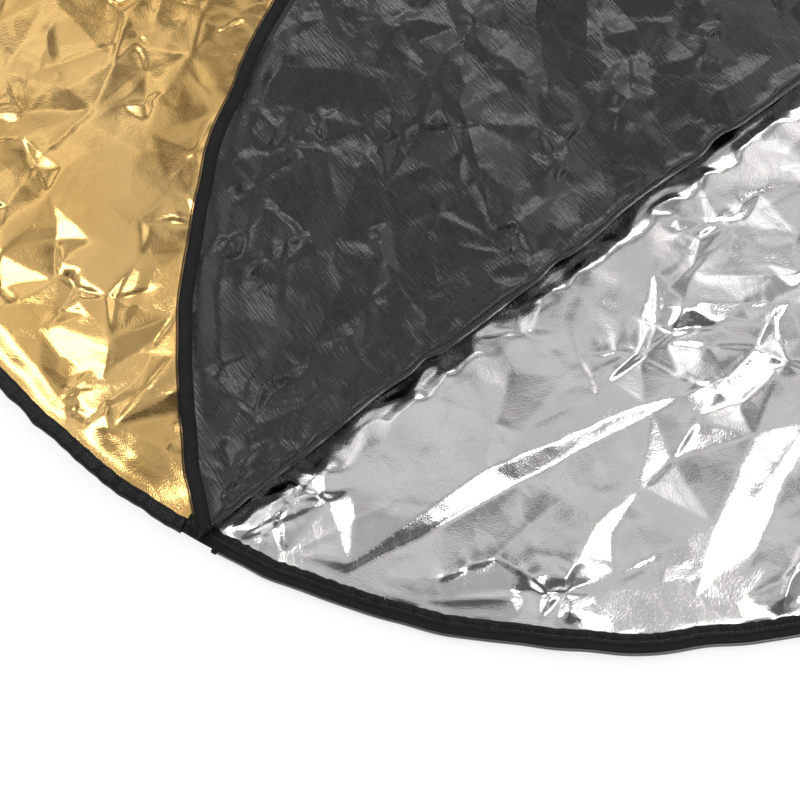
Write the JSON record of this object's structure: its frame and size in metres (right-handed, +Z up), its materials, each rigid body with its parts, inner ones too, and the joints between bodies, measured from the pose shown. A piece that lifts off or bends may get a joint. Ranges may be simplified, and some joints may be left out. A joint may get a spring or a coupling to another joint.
{
  "type": "collapsible reflector disc",
  "caption": "Round photographic reflector: zip-round gold, black, silver and white sleeve, unzipped and folded half open on the sprung, framed diffuser disc that it covers.",
  "frame": {"origin": "centre of the disc, on the surface that the framed diffuser lies on", "axes": "+Z up, across the disc; the fold's outward normal points 51.3 degrees from +X towards -Y"},
  "size_m": [1.0999, 1.0999, 0.0227],
  "materials": {
    "gold_foil": "crinkled metallised foil on cloth, glossy",
    "silver_foil": "crinkled metallised foil on cloth, mirror bright",
    "black_cloth": "calendered taffeta, slight sheen",
    "white_cloth": "matt white taffeta",
    "diffuser_cloth": "thin translucent white nylon",
    "binding_tape": "woven polyester bias tape, puckered by its stitching",
    "zip_tape": "woven polyester zip tape",
    "zip_coil": "moulded coil of nylon monofilament",
    "spring_steel": "blued spring steel band",
    "slider_metal": "black enamelled zinc",
    "stop_metal": "pressed metal"
  },
  "bodies": {
    "frame": {"diffuser_hem": "binding_tape", "diffuser_panel": "diffuser_cloth", "hoop_band": "spring_steel", "hoop_ferrule": "stop_metal"},
    "cover": {"white_sheet": "white_cloth", "silver_sheet": "silver_foil", "lower_zip_tape": "zip_tape", "lower_zip_coil": "zip_coil", "silver_edge_binding": "binding_tape", "white_edge_binding": "binding_tape", "seam_binding": "binding_tape", "gold_sheet": "gold_foil", "black_lining": "black_cloth", "upper_zip_tape": "zip_tape", "upper_zip_coil": "zip_coil", "gold_edge_binding": "binding_tape", "lower_top_stop": "stop_metal", "bottom_stop": "stop_metal"},
    "fold": {"fold_gold_sheet": "gold_foil", "fold_black_lining": "black_cloth", "fold_zip_tape": "zip_tape", "fold_zip_coil": "zip_coil", "fold_gold_edge_binding": "binding_tape"},
    "flap": {"flap_gold_sheet": "gold_foil", "flap_black_lining": "black_cloth", "flap_zip_tape": "zip_tape", "flap_zip_coil": "zip_coil", "flap_gold_edge_binding": "binding_tape", "flap_top_stop": "stop_metal"},
    "slider": {"slider_body": "slider_metal", "slider_bridge": "slider_metal"},
    "pull": {"pull_tab": "slider_metal"}
  },
  "joints": [
    {"name": "sleeve_lift", "type": "slide", "parent": "frame", "child": "cover", "axis": [0, 0, 1], "range_m": [0, 0.25]},
    {"name": "fold_turn", "type": "hinge", "parent": "cover", "child": "fold", "pos_m": [0.12943, -0.16155, 0.0116], "axis": [0.7804, 0.6252, 0], "range_deg": [0, 90]},
    {"name": "flap_turn", "type": "hinge", "parent": "fold", "child": "flap", "pos_m": [0.12943, -0.16155, 0.0216], "axis": [0.7804, 0.6252, 0], "range_deg": [0, 90]},
    {"name": "zip_travel", "type": "hinge", "parent": "cover", "child": "slider", "pos_m": [0, 0, 0.0096], "axis": [0, 0, 1], "range_deg": [-136.3, 0]},
    {"name": "pull_swing", "type": "hinge", "parent": "slider", "child": "pull", "pos_m": [0.52105, 0.18375, 0.0096], "axis": [0, 0, 1], "range_deg": [-180, 0]}
  ],
  "couplings": [
    {"joint": "flap_turn", "follows": "fold_turn", "ratio": 1}
  ]
}
